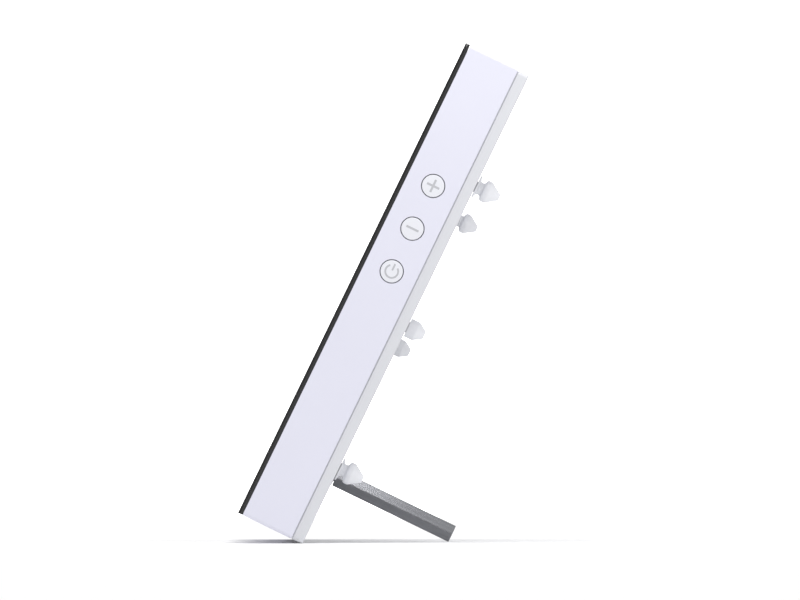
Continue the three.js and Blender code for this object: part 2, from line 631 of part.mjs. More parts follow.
function addElectronics() {
  // The board has an arm that carries the card socket out to the left wall.
  const armTop = cardTop + ARM_MARGIN;
  const armBottom = CARD_FROM_BOTTOM - ARM_MARGIN;
  const armLeft = cardLeft + ARM_SETBACK;
  const corners = [
    [boardLeft, BOARD_FROM_BOTTOM],
    [boardRight, BOARD_FROM_BOTTOM],
    [boardRight, boardTop],
    [boardLeft, boardTop],
    [boardLeft, armTop],
    [armLeft, armTop],
    [armLeft, armBottom],
    [boardLeft, armBottom],
  ];
  const boardShape = new THREE.Shape(corners.map(([x, z]) => new THREE.Vector2(x, z)));
  const ribbonTop = BOARD_FROM_BOTTOM + RIBBON_UP;
  const connector = blockY(
    { x: ribbonX, z: ribbonTop + CLEARANCE + CONNECTOR_HEIGHT / 2 },
    RIBBON_WIDTH + 2 * CONNECTOR_MARGIN,
    CONNECTOR_HEIGHT,
    BOARD_FROM_FRONT - CONNECTOR_DEPTH,
    BOARD_FROM_FRONT + ROOTED,
  );
  const board = join(solid(plate(boardShape, BOARD_FROM_FRONT, boardBack)), [connector]);
  const boardHoles = boardFixings.map((at) => barY(at, 0, boardBack + PAST, innerHole));
  place("main_board", cut(board, boardHoles), GREEN_BOARD);

  const seat = BOARD_FROM_FRONT - CLEARANCE;
  const profile = innerScrew(seat, boardHoleEnd - BOARD_SCREW_LEFT_OVER - seat);
  boardFixings.forEach((at, index) => {
    place(`board_screw_${index + 1}`, turned(profile, at), PLATED_STEEL);
  });

  const chipsZ = BOARD_FROM_BOTTOM + CHIPS_UP;
  const processorAt = { x: boardLeft + PROCESSOR_ALONG, z: chipsZ };
  const processorBack = chipFront + PROCESSOR_THICKNESS;
  const processor = blockY(processorAt, PROCESSOR_SIDE, PROCESSOR_SIDE, chipFront, processorBack);
  place("processor", processor, BLACK_PACKAGE);
  const memoryAt = { x: boardLeft + MEMORY_ALONG, z: chipsZ };
  const memory = blockY(memoryAt, MEMORY_WIDTH, MEMORY_HEIGHT, chipFront, chipFront + MEMORY_THICKNESS);
  place("memory_chip", memory, BLACK_PACKAGE);

  // Card socket: a flat steel box, open to the left.
  const cardRight = cardLeft + CARD_DEPTH;
  const cardShell = block(cardLeft, cardRight, chipFront, cardBack, CARD_FROM_BOTTOM, cardTop);
  const slot = block(
    cardLeft - PAST,
    cardRight - CARD_WALL,
    cardSlotFront,
    cardSlotFront + CARD_SLOT,
    CARD_FROM_BOTTOM + CARD_WALL,
    cardTop - CARD_WALL,
  );
  place("card_socket", cut(solid(cardShell), [slot]), PLATED_STEEL);

  // Power inlet: a small rectangular socket that faces backwards through the cover.
  const usbBack = coverBack + USB_PROUD;
  const shell = solid(blockY(usb, USB_WIDTH, USB_HEIGHT, chipFront, usbBack));
  const mouthWidth = USB_WIDTH - 2 * USB_WALL;
  const mouthHeight = USB_HEIGHT - 2 * USB_WALL;
  const mouth = blockY(usb, mouthWidth, mouthHeight, chipFront + USB_FLOOR, usbBack + PAST);
  place("usb_power_socket", cut(shell, [mouth]), PLATED_STEEL);

  // The display's ribbon passes under the tray and up to the board's connector.
  const ribbonLow = MODULE_ENDS - RIBBON_DROP;
  const ribbonFront = (cellFront + cellBack) / 2;
  const ribbonBack = BOARD_FROM_FRONT - 3 * CLEARANCE;
  const thick = RIBBON_THICKNESS;
  const ribbonStart = MODULE_ENDS - CLEARANCE;
  const strip = [
    [ribbonFront, ribbonStart],
    [ribbonFront, ribbonLow],
    [ribbonBack, ribbonLow],
    [ribbonBack, ribbonTop],
    [ribbonBack - thick, ribbonTop],
    [ribbonBack - thick, ribbonLow + thick],
    [ribbonFront + thick, ribbonLow + thick],
    [ribbonFront + thick, ribbonStart],
  ];
  const stripShape = new THREE.Shape(strip.map(([y, z]) => new THREE.Vector2(y, z)));
  const ribbon = new THREE.ExtrudeGeometry(stripShape, { depth: RIBBON_WIDTH, bevelEnabled: false });
  // The outline's own x and y are the frame's y and z, so its depth runs along x.
  const turn = new THREE.Matrix4().makeBasis(
    new THREE.Vector3(0, 1, 0),
    new THREE.Vector3(0, 0, 1),
    new THREE.Vector3(1, 0, 0),
  );
  ribbon.applyMatrix4(turn).translate(ribbonX - RIBBON_WIDTH / 2, 0, 0);
  place("display_ribbon", ribbon, RIBBON_FILM);

  // The cable from the button board crosses behind the display to the main board.
  const cableY = (trayBack + coverInside - 2) / 2;
  const cableStart = buttonBoardInner - CLEARANCE;
  const cableEnd = boardRight + CLEARANCE;
  const cableHigh = buttonBoardBottom + BUTTON_BOARD_MARGIN;
  const cableLow = boardTop - CABLE_DOWN;
  const route = new THREE.CatmullRomCurve3([
    new THREE.Vector3(cableStart, BUTTON_FROM_FRONT + CABLE_LIFT, cableHigh),
    new THREE.Vector3(cableStart - 4, cableY - 1, cableHigh - 1),
    new THREE.Vector3(cableStart - 22, cableY, (cableHigh + cableLow) / 2),
    new THREE.Vector3((cableStart + cableEnd) / 2, cableY, cableLow + 2),
    new THREE.Vector3(cableEnd + 14, cableY, cableLow),
    new THREE.Vector3(cableEnd, (BOARD_FROM_FRONT + boardBack) / 2, cableLow),
  ]);
  const section = new THREE.Shape().absarc(0, 0, CABLE_RADIUS, 0, 2 * Math.PI);
  const cable = new THREE.ExtrudeGeometry(section, { extrudePath: route, steps: 30, curveSegments: 3 });
  place("button_cable", cable, CABLE_JACKET);

  const back = coverInside - CLEARANCE;
  const front = back - SPEAKER_DEPTH;
  const shoulder = front + SPEAKER_MAGNET_DEPTH;
  const coneBottom = back - SPEAKER_CONE_DEPTH;
  const speaker = [
    [0, front],
    [SPEAKER_RADIUS * SPEAKER_MAGNET, front],
    [SPEAKER_RADIUS * SPEAKER_MAGNET, shoulder],
    [SPEAKER_RADIUS, shoulder + SPEAKER_FLARE],
    [SPEAKER_RADIUS, back],
    [SPEAKER_RADIUS * SPEAKER_RIM, back],
    [SPEAKER_RADIUS * SPEAKER_CAP, coneBottom],
    [0, coneBottom + SPEAKER_CAP_RISE],
  ];
  speakers.forEach((at) => place(`speaker_${at.name}`, turned(speaker, at), BLACK_PACKAGE));
}

function addLeg() {
  const cornerRadius = LEG_FLATS / Math.sqrt(3);
  const length = legTip - legBase;
  const bar = new THREE.CylinderGeometry(cornerRadius, cornerRadius, length, 6, 1, false, Math.PI / 6);
  const hexagon = solid(bar.translate(leg.x, (legBase + legTip) / 2, leg.z));
  const stud = barY(leg, threadEnd, legBase + ROOTED, THREAD_RADIUS);
  place("leg", join(hexagon, [stud]), ALUMINIUM);

  const bore = barY(leg, 0, legTip, THREAD_RADIUS + CLEARANCE);
  const washer = barY(leg, coverBack + CLEARANCE, legBase - CLEARANCE, WASHER_RADIUS, 20);
  place("leg_washer", cut(solid(washer), [bore]), BLACK_RUBBER);
  const sleeve = barY(leg, insertBack - INSERT_LENGTH, insertBack, INSERT_RADIUS, 20);
  place("leg_insert", cut(solid(sleeve), [bore]), BRASS);
}

// Both kinds push through the cover on a stem whose barb grips the boss inside.
function stemProfile() {
  const barbBack = coverInside - PEG_BOSS_DEPTH - CLEARANCE;
  const barbFront = barbBack - PEG_BARB_LENGTH;
  return [
    [0, barbFront],
    [PEG_STEM_RADIUS / 2, barbFront],
    [PEG_BARB_RADIUS, barbBack - PEG_BARB_EDGE],
    [PEG_BARB_RADIUS, barbBack],
    [PEG_STEM_RADIUS, barbBack],
    [PEG_STEM_RADIUS, coverBack + CLEARANCE],
  ];
}

function addPegs() {
  const foot = coverBack + CLEARANCE;
  const tip = foot + PEG_LENGTH;
  const stem = stemProfile();
  // A flange, a narrow neck and a mushroom head with a blunt cone.
  const head = [
    [PEG_FLANGE_RADIUS, foot],
    [PEG_FLANGE_RADIUS, tip - 8.75],
    [PEG_NECK_RADIUS, tip - 8.15],
    [PEG_NECK_RADIUS, tip - 6.7],
    [PEG_HEAD_RADIUS - 0.7, tip - 6.35],
    [PEG_HEAD_RADIUS - 0.1, tip - 5.8],
    [PEG_HEAD_RADIUS, tip - 5.1],
    [PEG_HEAD_RADIUS - 0.2, tip - 4.2],
    [PEG_HEAD_RADIUS - 0.7, tip - 3.4],
    [PEG_HEAD_RADIUS * BLUNT_SHARE, tip - 0.1],
    [0, tip],
  ];
  // A plain collar with a blunt cone.
  const knobTip = foot + KNOB_LENGTH;
  const knob = [
    [KNOB_RADIUS, foot],
    [KNOB_RADIUS, foot + KNOB_COLLAR],
    [KNOB_RADIUS - 0.2, foot + KNOB_COLLAR + 0.4],
    [KNOB_RADIUS * 0.4, knobTip - 0.2],
    [0, knobTip],
  ];
  [-1, 1].forEach((side) => {
    const sideName = side < 0 ? "left" : "right";
    const x = side * (halfWidth - PEG_FROM_SIDE);
    pegRows.forEach(({ row, z }) => {
      place(`mount_peg_${row}_${sideName}`, turned([...stem, ...head], { x, z }), WHITE_PLASTIC);
    });
    place(`locating_knob_${sideName}`, turned([...stem, ...knob], { x, z: knobHeight }), WHITE_PLASTIC);
  });
}

addFront();
addDisplay();
addHousing();
addRearCover();
addButtons();
addElectronics();
addLeg();
addPegs();

// Lean the frame back, then stand it on z = 0 with the middle of its footprint at the origin.
const leaning = new THREE.Group();
leaning.add(upright);
upright.rotation.x = -LEAN;
leaning.updateMatrixWorld(true);
const extent = new THREE.Box3().setFromObject(leaning, true);
upright.position.set(0, -(extent.min.y + extent.max.y) / 2, -extent.min.z);

export default leaning;
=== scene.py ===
"""A white digital photo frame that leans back on a screw-in metal leg, in a plain white studio."""

import json
import math

import bmesh
import bpy
from mathutils import Matrix, Vector


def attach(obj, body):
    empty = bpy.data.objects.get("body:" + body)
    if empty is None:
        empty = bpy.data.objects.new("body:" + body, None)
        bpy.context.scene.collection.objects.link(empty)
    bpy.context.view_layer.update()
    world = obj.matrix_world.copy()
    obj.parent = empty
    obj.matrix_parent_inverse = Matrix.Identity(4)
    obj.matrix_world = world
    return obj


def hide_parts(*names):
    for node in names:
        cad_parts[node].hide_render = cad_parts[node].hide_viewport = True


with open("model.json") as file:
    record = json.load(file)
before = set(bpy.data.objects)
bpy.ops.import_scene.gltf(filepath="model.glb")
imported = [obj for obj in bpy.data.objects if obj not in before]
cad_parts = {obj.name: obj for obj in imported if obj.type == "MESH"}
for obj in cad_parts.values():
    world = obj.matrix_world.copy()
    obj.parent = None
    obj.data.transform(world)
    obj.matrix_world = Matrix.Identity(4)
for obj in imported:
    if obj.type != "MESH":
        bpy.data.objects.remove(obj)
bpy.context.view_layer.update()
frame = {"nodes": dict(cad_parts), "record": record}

MM = 0.001
CAD = frame["nodes"]
MOUNTS = {mount["name"]: mount for mount in frame["record"]["mounts"]}

# ---- the leaning frame's own axes ----------------------------------------------------
# Pieces are modelled upright, as in the CAD: x across, y from the glass to the back and
# z up from the bottom edge, in metres. LEAN carries them to where the frame stands.

BACKWARD = Vector(MOUNTS["back_face"]["axis"]).normalized()
UPWARD = Vector((0, -BACKWARD.z, BACKWARD.y))
GLASS_MIDDLE = Vector(MOUNTS["front_face"]["pos_m"])


def axes_matrix(origin):
    turned = Matrix((Vector((1, 0, 0)), BACKWARD, UPWARD)).transposed().to_4x4()
    return Matrix.Translation(origin) @ turned


def upright_box(node, matrix):
    inverse = matrix.inverted()
    points = [inverse @ vertex.co for vertex in CAD[node].data.vertices]
    low = Vector([min(point[axis] for point in points) for axis in range(3)])
    high = Vector([max(point[axis] for point in points) for axis in range(3)])
    return low, high


def lean_matrix():
    centred = axes_matrix(GLASS_MIDDLE)
    low, high = upright_box("front_panel", centred)
    return axes_matrix(GLASS_MIDDLE + UPWARD * low.z)


LEAN = lean_matrix()


def seat(node):
    """Lowest and highest corners of a CAD node in the upright axes."""
    return upright_box(node, LEAN)


def middle(node):
    low, high = seat(node)
    return (low + high) / 2


# ---- materials -----------------------------------------------------------------------


def linear(code):
    """An sRGB hex value as linear red, green, blue and alpha."""
    parts = [int(code[place:place + 2], 16) / 255 for place in (1, 3, 5)]
    return (*[p / 12.92 if p <= 0.04045 else ((p + 0.055) / 1.055) ** 2.4 for p in parts], 1)


def per_mm(size):
    """Texture scale that repeats about once every size millimetres."""
    return 1 / (size * MM)


def add(tree, kind, inputs=None, **settings):
    """Adds a node with its settings; an input is a value or another node's output."""
    made = tree.nodes.new(kind)
    for name, value in settings.items():
        setattr(made, name, value)
    for socket, value in (inputs or {}).items():
        if isinstance(value, bpy.types.NodeSocket):
            tree.links.new(value, made.inputs[socket])
        else:
            made.inputs[socket].default_value = value
    return made


def new_material(name, colour, roughness, **sockets):
    """A Principled material; sockets are its further constant values."""
    made = bpy.data.materials.new(name)
    made.use_nodes = True
    tree = made.node_tree
    shader = tree.nodes["Principled BSDF"]
    shader.inputs["Base Color"].default_value = linear(colour)
    shader.inputs["Roughness"].default_value = roughness
    for socket, value in sockets.items():
        shader.inputs[socket.replace("_", " ")].default_value = value
    return made, tree, shader


def lean_coords(tree, stretch=(1, 1, 1)):
    """Object coordinates turned into the upright axes, so patterns follow the frame."""
    place = add(tree, "ShaderNodeTexCoord")
    angle = math.atan2(-BACKWARD.z, BACKWARD.y)
    turn = add(tree, "ShaderNodeMapping", {
        "Vector": place.outputs["Object"], "Rotation": (angle, 0, 0)})
    scaled = add(tree, "ShaderNodeMapping", {"Vector": turn.outputs["Vector"], "Scale": stretch})
    return scaled.outputs["Vector"]


def drive(tree, shader, colour=None, roughness=None, height=None):
    """Patterns move a surface's colour and roughness between two values each.

    Height is a pattern, its depth in millimetres and its strength."""
    if colour:
        pattern, low, high = colour
        mix = add(tree, "ShaderNodeMix", {
            "Factor": pattern, "A": linear(low), "B": linear(high)}, data_type="RGBA")
        tree.links.new(mix.outputs["Result"], shader.inputs["Base Color"])
    if roughness:
        pattern, low, high = roughness
        spread = add(tree, "ShaderNodeMapRange", {"Value": pattern, "To Min": low, "To Max": high})
        tree.links.new(spread.outputs["Result"], shader.inputs["Roughness"])
    if height:
        pattern, depth, strength = height
        bump = add(tree, "ShaderNodeBump", {
            "Height": pattern, "Distance": depth * MM, "Strength": strength})
        tree.links.new(bump.outputs["Normal"], shader.inputs["Normal"])


def moulded_abs(name, low, high, roughness, grain, depth):
    """Injection-moulded ABS from a spark-eroded tool: a soft satin sheen over a fine even grain."""
    made, tree, shader = new_material(name, high, roughness, IOR=1.53)
    coords = lean_coords(tree)
    drift = add(tree, "ShaderNodeTexNoise", {
        "Vector": coords, "Scale": per_mm(45), "Detail": 3, "Roughness": 0.5})
    grains = add(tree, "ShaderNodeTexNoise", {
        "Vector": coords, "Scale": per_mm(grain), "Detail": 3, "Roughness": 0.6})
    drive(tree, shader, colour=(drift.outputs["Fac"], low, high),
          roughness=(grains.outputs["Fac"], roughness - 0.05, roughness + 0.07),
          height=(grains.outputs["Fac"], depth, 0.5))
    return made


def black_backed_glass():
    """Float glass printed black behind: a deep gloss, the picture's window just visible, and dust."""
    made, tree, shader = new_material("black_backed_glass", "#0b0b0d", 0.06, IOR=1.52)
    coords = add(tree, "ShaderNodeTexCoord").outputs["Object"]
    dust = add(tree, "ShaderNodeTexNoise", {
        "Vector": coords, "Scale": per_mm(0.9), "Detail": 4, "Roughness": 0.7})
    smudge = add(tree, "ShaderNodeTexNoise", {
        "Vector": lean_coords(tree), "Scale": per_mm(38), "Detail": 3, "Roughness": 0.5})
    both = add(tree, "ShaderNodeMath", {
        0: dust.outputs["Fac"], 1: smudge.outputs["Fac"]}, operation="MULTIPLY")
    drive(tree, shader, colour=(picture_mask(tree), "#0a0a0b", "#131519"),
          roughness=(both.outputs["Value"], 0.04, 0.13))
    return made


PRINTED_BORDER_SIDE = 22.5  # around the picture, in millimetres
PRINTED_BORDER_TOP = 23.2


def picture_mask(tree):
    """1 where the picture shows and 0 over the printed border."""
    low, high = seat("front_panel")
    half_width = (high.x - low.x) / 2 - PRINTED_BORDER_SIDE * MM
    half_height = (high.z - low.z) / 2 - PRINTED_BORDER_TOP * MM
    place = add(tree, "ShaderNodeTexCoord")
    centred = add(tree, "ShaderNodeVectorMath", {
        0: place.outputs["Object"], 1: GLASS_MIDDLE}, operation="SUBTRACT")
    inside = []
    for direction, limit in ((Vector((1, 0, 0)), half_width), (UPWARD, half_height)):
        along = add(tree, "ShaderNodeVectorMath", {
            0: centred.outputs["Vector"], 1: direction}, operation="DOT_PRODUCT")
        size = add(tree, "ShaderNodeMath", {0: along.outputs["Value"]}, operation="ABSOLUTE")
        inside.append(add(tree, "ShaderNodeMath", {
            0: size.outputs["Value"], 1: limit}, operation="LESS_THAN"))
    both = add(tree, "ShaderNodeMath", {
        0: inside[0].outputs["Value"], 1: inside[1].outputs["Value"]}, operation="MULTIPLY")
    return both.outputs["Value"]


def drawn_aluminium():
    """Drawn, clear-anodised bar: die lines along its length, drawn coarse enough to show."""
    made, tree, shader = new_material("drawn_aluminium", "#8a8b8f", 0.18, Metallic=1.0)
    lines = add(tree, "ShaderNodeTexNoise", {
        "Vector": lean_coords(tree, (1, 0.02, 1)), "Scale": per_mm(0.9), "Detail": 3, "Roughness": 0.6})
    drive(tree, shader, colour=(lines.outputs["Fac"], "#7f8084", "#929397"),
          roughness=(lines.outputs["Fac"], 0.15, 0.2), height=(lines.outputs["Fac"], 0.008, 0.3))
    return made


def grained(name, low, high, roughness, grain, depth, **sockets):
    """A plain finish with its own colour drift, roughness and grain."""
    made, tree, shader = new_material(name, high, roughness, **sockets)
    spots = add(tree, "ShaderNodeTexNoise", {
        "Vector": lean_coords(tree), "Scale": per_mm(grain), "Detail": 4, "Roughness": 0.6})
    drive(tree, shader, colour=(spots.outputs["Fac"], low, high),
          roughness=(spots.outputs["Fac"], roughness * 0.8, min(1, roughness * 1.2)),
          height=(spots.outputs["Fac"], depth, 0.6))
    return made


def circuit_board():
    """Glass-epoxy board under green solder mask, with copper tracks that show as raised lines."""
    made, tree, shader = new_material("green_solder_mask", "#1f5a38", 0.42, IOR=1.5)
    tracks = add(tree, "ShaderNodeTexBrick", {
        "Vector": lean_coords(tree), "Color1": (1, 1, 1, 1), "Color2": (0.7, 0.7, 0.7, 1),
        "Mortar": (0, 0, 0, 1), "Scale": per_mm(6), "Mortar Size": 0.06})
    drive(tree, shader, colour=(tracks.outputs["Color"], "#2d7a4c", "#1b5133"),
          height=(tracks.outputs["Color"], 0.03, 0.6))
    return made


# Side band: a cool white with a soft sheen and hardly any visible grain.
WHITE = moulded_abs("moulded_white_abs", "#d5d5e2", "#d8d8e5", 0.42, 0.45, 0.012)
# Back cover: a neutral white whose fine texture spreads the light, painted darker than the side band as
# painted shade.
COVER_WHITE_PAINTED_SHADE = moulded_abs("textured_white_abs_painted_shade", "#cbccd1", "#d0d1d6", 0.5, 0.6, 0.02)
# Button caps: the smoothest of the whites, so their rims catch a small highlight.
BUTTON_WHITE = moulded_abs("satin_button_abs", "#dadbe1", "#dedfe5", 0.34, 0.3, 0.006)
# Pegs and knobs: a brighter white with a waxy, even sheen.
PEG_WHITE = moulded_abs("moulded_white_nylon", "#e2e3e8", "#e7e8ec", 0.45, 0.8, 0.01)
GLASS = black_backed_glass()
# Moulding behind the glass: nearly black, and duller than the glass.
CARRIER = grained("smoked_polycarbonate", "#0c0d0e", "#141516", 0.35, 0.5, 0.006, IOR=1.58)
# Ink of the button marks: a flat pale grey.
GLYPH = grained("grey_pad_print", "#aeafb4", "#b8b9be", 0.55, 0.2, 0.002)
ALUMINIUM = drawn_aluminium()
# Washer: a dead black that reflects almost nothing.
RUBBER = grained("moulded_black_rubber", "#131314", "#1d1d1f", 0.8, 0.25, 0.02)
# Threaded insert: warm yellow metal with a soft shine.
BRASS = grained("turned_brass", "#9c7a35", "#c2a25a", 0.3, 0.15, 0.01, Metallic=1.0)
# Screws: dark grey metal that glints at its edges.
DARK_STEEL = grained("black_zinc_screw", "#2b2c2f", "#3d3e42", 0.36, 0.3, 0.006, Metallic=1.0)
# Sheet steel parts: cool light grey metal with a faint mottle.
PLATED = grained("zinc_plated_steel", "#9fa1a5", "#babcc0", 0.3, 1.2, 0.006, Metallic=1.0)
# Foam tape: black, matte and slightly pitted.
FOAM = grained("black_pe_foam", "#0e0e0f", "#1a1a1b", 0.95, 0.15, 0.05)
# Display cell: nearly black and glossy, with a blue cast.
CELL = grained("polarised_lcd_glass", "#0b0d11", "#101318", 0.15, 3.0, 0.002, IOR=1.52)
# Light guide: pale and glossy.
ACRYLIC = grained("etched_acrylic", "#dfe7ea", "#eef4f6", 0.2, 0.5, 0.01, IOR=1.49)
BOARD = circuit_board()
# Chips, plungers and speakers: dull black.
EPOXY = grained("black_chip_epoxy", "#161718", "#222326", 0.55, 0.1, 0.01)
# Ribbon: amber film with a low sheen.
POLYIMIDE = grained("amber_polyimide", "#a8702a", "#c58a3e", 0.3, 2.0, 0.004, IOR=1.6)
# Cable: black with a slight sheen.
JACKET = grained("black_pvc_jacket", "#1b1b1d", "#262628", 0.5, 0.6, 0.01)
# Socket contacts: small bright gold strips.
GOLD = grained("gold_flashed_contact", "#b98f3a", "#d0a850", 0.25, 0.2, 0.003, Metallic=1.0)

# ---- mesh work -----------------------------------------------------------------------

MERGE = 0.0005 * MM  # corners closer than this become one
CAD_MERGE = 0.001 * MM
FLAT = math.radians(0.5)  # facets closer than this in angle become one face
SHARP = math.radians(40)  # edges over this angle are rounded
ARC_STEP = 15  # degrees between the points of a rounded corner


def finish_piece(mesh_work, name, body, material, replaced, smooth=30, leaning=True):
    """Turns a bmesh in the upright axes into a finished piece that rides on a CAD body."""
    if leaning:
        bmesh.ops.transform(mesh_work, matrix=LEAN, verts=mesh_work.verts)
    bmesh.ops.remove_doubles(mesh_work, verts=mesh_work.verts, dist=MERGE)
    bmesh.ops.recalc_face_normals(mesh_work, faces=mesh_work.faces)
    mesh = bpy.data.meshes.new(name)
    mesh_work.to_mesh(mesh)
    mesh_work.free()
    for polygon in mesh.polygons:
        polygon.use_smooth = True
    mesh.set_sharp_from_angle(angle=math.radians(smooth))
    mesh.materials.append(material)
    piece = bpy.data.objects.new(name, mesh)
    bpy.context.scene.collection.objects.link(piece)
    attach(piece, body)
    if replaced:
        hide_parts(*replaced)
    return piece


def spun(profile, centre, steps=64, axis="Y"):
    """Spins pairs of radius and height about an upright axis through centre."""
    work = bmesh.new()
    points = [work.verts.new((radius, height, 0)) for radius, height in profile]
    edges = [work.edges.new(pair) for pair in zip(points, points[1:])]
    bmesh.ops.spin(work, geom=points + edges, cent=(0, 0, 0), axis=(0, 1, 0), dvec=(0, 0, 0),
                   angle=2 * math.pi, steps=steps, use_merge=True, use_duplicate=False)
    bmesh.ops.remove_doubles(work, verts=work.verts, dist=MERGE)
    if axis == "X":
        turn = Matrix.Rotation(-math.pi / 2, 3, "Z")
        bmesh.ops.rotate(work, cent=(0, 0, 0), matrix=turn, verts=work.verts)
    bmesh.ops.translate(work, vec=centre, verts=work.verts)
    return work


def rounded_profile(corners):
    """Radius and height pairs from (radius, height, edge rounding) in millimetres."""
    points = []
    for index, (radius, height, rounding) in enumerate(corners):
        here = Vector((radius, height))
        if not rounding or index in (0, len(corners) - 1):
            points.append(here)
            continue
        before = (Vector(corners[index - 1][:2]) - here).normalized()
        after = (Vector(corners[index + 1][:2]) - here).normalized()
        half = before.angle(after) / 2
        reach = rounding / math.tan(half)
        centre = here + (before + after).normalized() * rounding / math.sin(half)
        start = here + before * reach - centre
        end = here + after * reach - centre
        sweep = start.angle_signed(end)
        steps = max(2, round(abs(math.degrees(sweep)) / ARC_STEP))
        for step in range(steps + 1):
            points.append(centre + Matrix.Rotation(-sweep * step / steps, 2) @ start)
    return [(point.x * MM, point.y * MM) for point in points]


def box_work(low, high):
    work = bmesh.new()
    bmesh.ops.create_cube(work, size=1)
    bmesh.ops.scale(work, vec=high - low, verts=work.verts)
    bmesh.ops.translate(work, vec=(low + high) / 2, verts=work.verts)
    return work


def soften(piece, rounding, segments=2):
    """Rounds a piece's sharp edges and keeps its flats truly flat to the light."""
    edges = piece.modifiers.new("soft_edges", "BEVEL")
    edges.width = rounding * MM
    edges.segments = segments
    edges.limit_method = "ANGLE"
    edges.angle_limit = SHARP
    edges.use_clamp_overlap = True
    edges.miter_outer = "MITER_SHARP"
    flats = piece.modifiers.new("flat_faces", "WEIGHTED_NORMAL")
    flats.keep_sharp = True
    flats.weight = 100


def refined(node, name, body, material, rounding):
    """A CAD shell with its facets joined into whole faces and its sharp edges softly rounded."""
    work = bmesh.new()
    work.from_mesh(CAD[node].data)
    bmesh.ops.remove_doubles(work, verts=work.verts, dist=CAD_MERGE)
    bmesh.ops.dissolve_limit(work, angle_limit=FLAT, use_dissolve_boundaries=False,
                             verts=work.verts, edges=work.edges, delimit={"NORMAL"})
    soften(finish_piece(work, name, body, material, [node], leaning=False), rounding)


# ---- the frame's shells --------------------------------------------------------------

GLASS_THICKNESS = 0.62
CARRIER_START = 0.66  # behind the face of the glass
CARRIER_INSET = 0.05
CARRIER_PAST_PANEL = 0.14
SEAM = 0.4  # between the side band and the back cover
SEAM_SIDE_GAP = 0.03
SEAM_DEPTH = 0.3
SEAM_LIP_WALL = 1.2


def make_glass():
    low, high = seat("front_panel")
    front = box_work(low, Vector((high.x, low.y + GLASS_THICKNESS * MM, high.z)))
    pane = finish_piece(front, "cover_glass", "frame", GLASS, ["front_panel"])
    soften(pane, rounding=0.26, segments=3)
    inset = CARRIER_INSET * MM
    behind = box_work(
        Vector((low.x + inset, low.y + CARRIER_START * MM, low.z + inset)),
        Vector((high.x - inset, high.y + CARRIER_PAST_PANEL * MM, high.z - inset)))
    carrier = finish_piece(behind, "glass_carrier", "frame", CARRIER, ())
    soften(carrier, rounding=0.08)


def make_shells():
    refined("housing", "side_band", "frame", WHITE, rounding=0.22)
    refined("rear_cover", "back_shell", "frame", COVER_WHITE_PAINTED_SHADE, rounding=0.18)
    finish_piece(seam_ring(), "seam_lip", "frame", COVER_WHITE_PAINTED_SHADE, ())


def seam_ring():
    """A thin ring that closes the seam between band and cover, just under the surface."""
    cover_low, cover_high = seat("rear_cover")
    start = seat("housing")[1].y + SEAM_SIDE_GAP * MM
    end = start + (SEAM - 2 * SEAM_SIDE_GAP) * MM
    sunk = SEAM_DEPTH * MM
    work = box_work(Vector((cover_low.x + sunk, start, cover_low.z + sunk)),
                    Vector((cover_high.x - sunk, end, cover_high.z - sunk)))
    ends = [face for face in work.faces if abs(face.normal.y) > 0.9]
    bmesh.ops.inset_individual(work, faces=ends, thickness=SEAM_LIP_WALL * MM, depth=0)
    loops = [edge for face in ends for edge in face.edges]
    bmesh.ops.delete(work, geom=ends, context="FACES_ONLY")
    bmesh.ops.bridge_loops(work, edges=loops)
    return work


# ---- buttons -------------------------------------------------------------------------

BUTTON_FACE = seat("button_plus")[1].x / MM
CAP_RADIUS = 3.95
CAP_EDGE = 0.3
STEM_RADIUS = 1.6
STEM_END = 1.2  # above the stem's foot, as is the flange's end
FLANGE_RADIUS = 5.2
FLANGE_END = 2
INNER_EDGE = 0.1
GLYPH_STROKE = 0.75
GLYPH_HEIGHT = 0.03  # how far a printed mark stands out of its cap
GLYPH_THICKNESS = 0.08  # of which the rest is sunk in the cap
MINUS_REACH = 1.95
PLUS_REACH = 2.35
POWER_RADIUS = 2.25
POWER_STROKE = 0.62
POWER_GAP = math.radians(38)  # on each side of the bar
POWER_BAR_ENDS = (0.7, 2.5)


def make_buttons():
    for name in ("plus", "minus", "power"):
        body = f"button_{name}_cap"
        centre = middle(f"button_{name}")
        foot = seat(f"button_{name}")[0].x / MM
        face = BUTTON_FACE - GLYPH_HEIGHT
        cap = rounded_profile([
            (0, foot, 0), (STEM_RADIUS, foot, INNER_EDGE), (STEM_RADIUS, foot + STEM_END, 0),
            (FLANGE_RADIUS, foot + STEM_END, INNER_EDGE),
            (FLANGE_RADIUS, foot + FLANGE_END, INNER_EDGE), (CAP_RADIUS, foot + FLANGE_END, 0),
            (CAP_RADIUS, face, CAP_EDGE), (0, face, 0)])
        work = spun(cap, Vector((0, centre.y, centre.z)), steps=72, axis="X")
        finish_piece(work, f"{name}_cap", body, BUTTON_WHITE, [f"button_{name}"])
        mark = GLYPHS[name]()
        bmesh.ops.translate(mark, vec=(BUTTON_FACE * MM, centre.y, centre.z), verts=mark.verts)
        finish_piece(mark, f"{name}_mark", body, GLYPH, (), smooth=20)


def stroke(start, end, width):
    """A flat straight stroke of a mark, in y and z, sunk a little into the cap's face."""
    left, right = sorted((start[0], end[0]))
    bottom, top = sorted((start[1], end[1]))
    low = Vector((-GLYPH_THICKNESS, left - width / 2, bottom - width / 2)) * MM
    high = Vector((0, right + width / 2, top + width / 2)) * MM
    return box_work(low, high)


def minus_mark():
    return stroke((-MINUS_REACH, 0), (MINUS_REACH, 0), GLYPH_STROKE)


